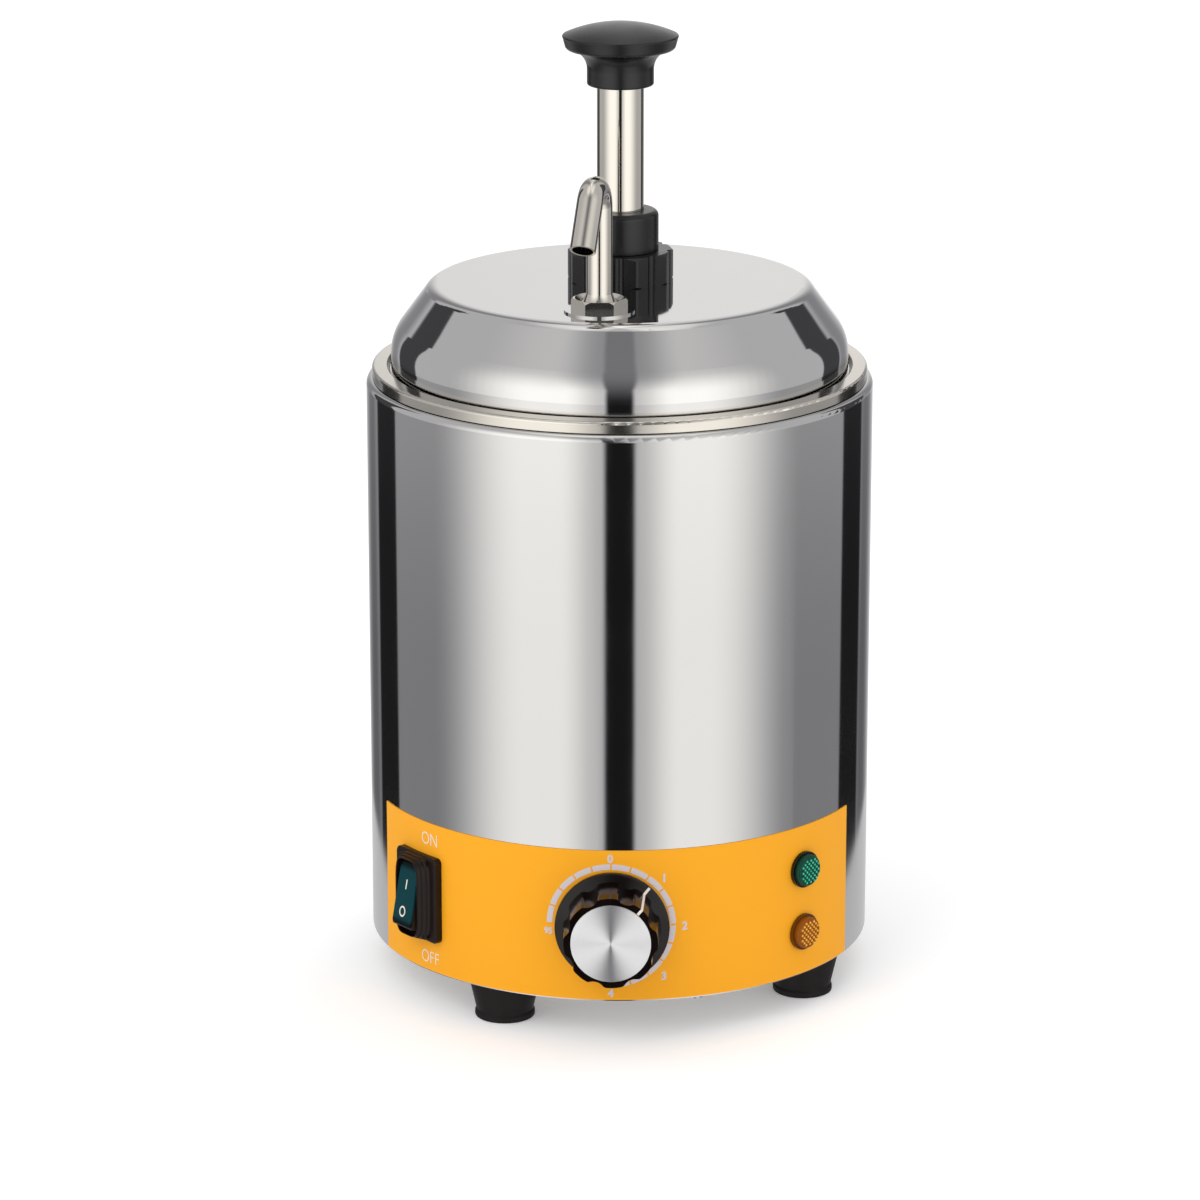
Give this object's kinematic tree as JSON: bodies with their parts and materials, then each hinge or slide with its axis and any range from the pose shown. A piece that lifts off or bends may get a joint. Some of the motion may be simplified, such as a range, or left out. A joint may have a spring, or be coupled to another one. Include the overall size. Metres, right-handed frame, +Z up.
{
  "type": "topping warmer",
  "caption": "Countertop warmer for ladled or pumped topping: heated water bath in a round steel housing, lift-out pot, and a lid with plunger pump and gooseneck spout.",
  "frame": {"origin": "on the surface the feet stand on, under the housing's axis", "axes": "+Z up, control panel and spout face -Y, +X to the right of someone facing the panel"},
  "size_m": [0.22, 0.2656, 0.4185],
  "materials": {
    "polished_steel": "mirror polished stainless steel",
    "brushed_steel": "circumferentially brushed stainless steel",
    "satin_steel": "satin drawn stainless steel",
    "zinc_steel": "zinc plated steel",
    "panel_orange": "satin polyester film",
    "black_plastic": "fine moulded satin",
    "knob_plastic": "glossy moulded",
    "black_rubber": "matte rubber",
    "spun_aluminium": "spun, circular brushed",
    "teal_lens": "translucent tinted",
    "green_lens": "translucent faceted",
    "amber_lens": "translucent faceted",
    "copper": "drawn copper",
    "white_plastic": "moulded",
    "bakelite": "moulded phenolic"
  },
  "bodies": {
    "base": {"outer_shell": "polished_steel", "shell_tabs": "satin_steel", "control_panel": "panel_orange", "bottom_plate": "satin_steel", "rubber_feet": "black_rubber", "foot_screws": "zinc_steel", "foot_nuts": "zinc_steel", "plate_screws": "zinc_steel", "water_tank": "satin_steel", "rim_ring": "brushed_steel", "heating_element": "satin_steel", "heater_clamp": "satin_steel", "clamp_nut": "zinc_steel", "thermal_cutout": "bakelite", "thermostat_bulb": "copper", "bulb_clip": "satin_steel", "control_bracket": "satin_steel", "thermostat_body": "bakelite", "thermostat_screws": "zinc_steel", "bushing_nut": "zinc_steel", "switch_body": "black_plastic", "lamp_bodies": "black_plastic", "green_lamp": "green_lens", "amber_lamp": "amber_lens", "lamp_nuts": "black_plastic", "cord_gland": "black_plastic", "gland_nut": "black_plastic", "terminal_block": "white_plastic"},
    "pot": {"inner_pot": "satin_steel"},
    "lid": {"lid_shell": "polished_steel", "pump_gasket": "black_rubber", "pump_cylinder": "satin_steel", "pump_lock_nut": "black_plastic", "pump_collar": "black_plastic", "return_spring": "satin_steel", "foot_valve": "satin_steel", "valve_ball": "polished_steel", "discharge_tube": "satin_steel", "spout_washer": "polished_steel", "union_nut": "brushed_steel"},
    "plunger": {"pump_knob": "black_plastic", "plunger_tube": "polished_steel", "piston": "white_plastic", "piston_seals": "black_rubber"},
    "spout": {"spout": "polished_steel"},
    "rocker": {"rocker": "black_plastic", "rocker_lens": "teal_lens"},
    "dial": {"dial_knob": "knob_plastic", "dial_cap": "spun_aluminium", "thermostat_shaft": "zinc_steel"}
  },
  "joints": [
    {"name": "pot_lift", "type": "slide", "parent": "base", "child": "pot", "axis": [0, 0, 1], "range_m": [0, 0.18]},
    {"name": "lid_lift", "type": "slide", "parent": "pot", "child": "lid", "axis": [0, 0, 1], "range_m": [0, 0.17]},
    {"name": "plunger_press", "type": "slide", "parent": "lid", "child": "plunger", "axis": [0, 0, -1], "range_m": [0, 0.05], "stiffness_N_per_m": 500, "springref_m": -0.025, "deforming": ["return_spring"]},
    {"name": "spout_swivel", "type": "hinge", "parent": "lid", "child": "spout", "pos_m": [-0.0071, -0.0564, 0.311], "axis": [0, 0, 1], "range_deg": [-90, 90]},
    {"name": "rocker_tip", "type": "hinge", "parent": "base", "child": "rocker", "pos_m": [-0.08406, -0.07154, 0.051], "axis": [0.6481, -0.7615, 0], "range_deg": [0, 23]},
    {"name": "dial_turn", "type": "hinge", "parent": "base", "child": "dial", "pos_m": [0, -0.11038, 0.051], "axis": [0, 1, 0], "range_deg": [-41, 229]}
  ]
}
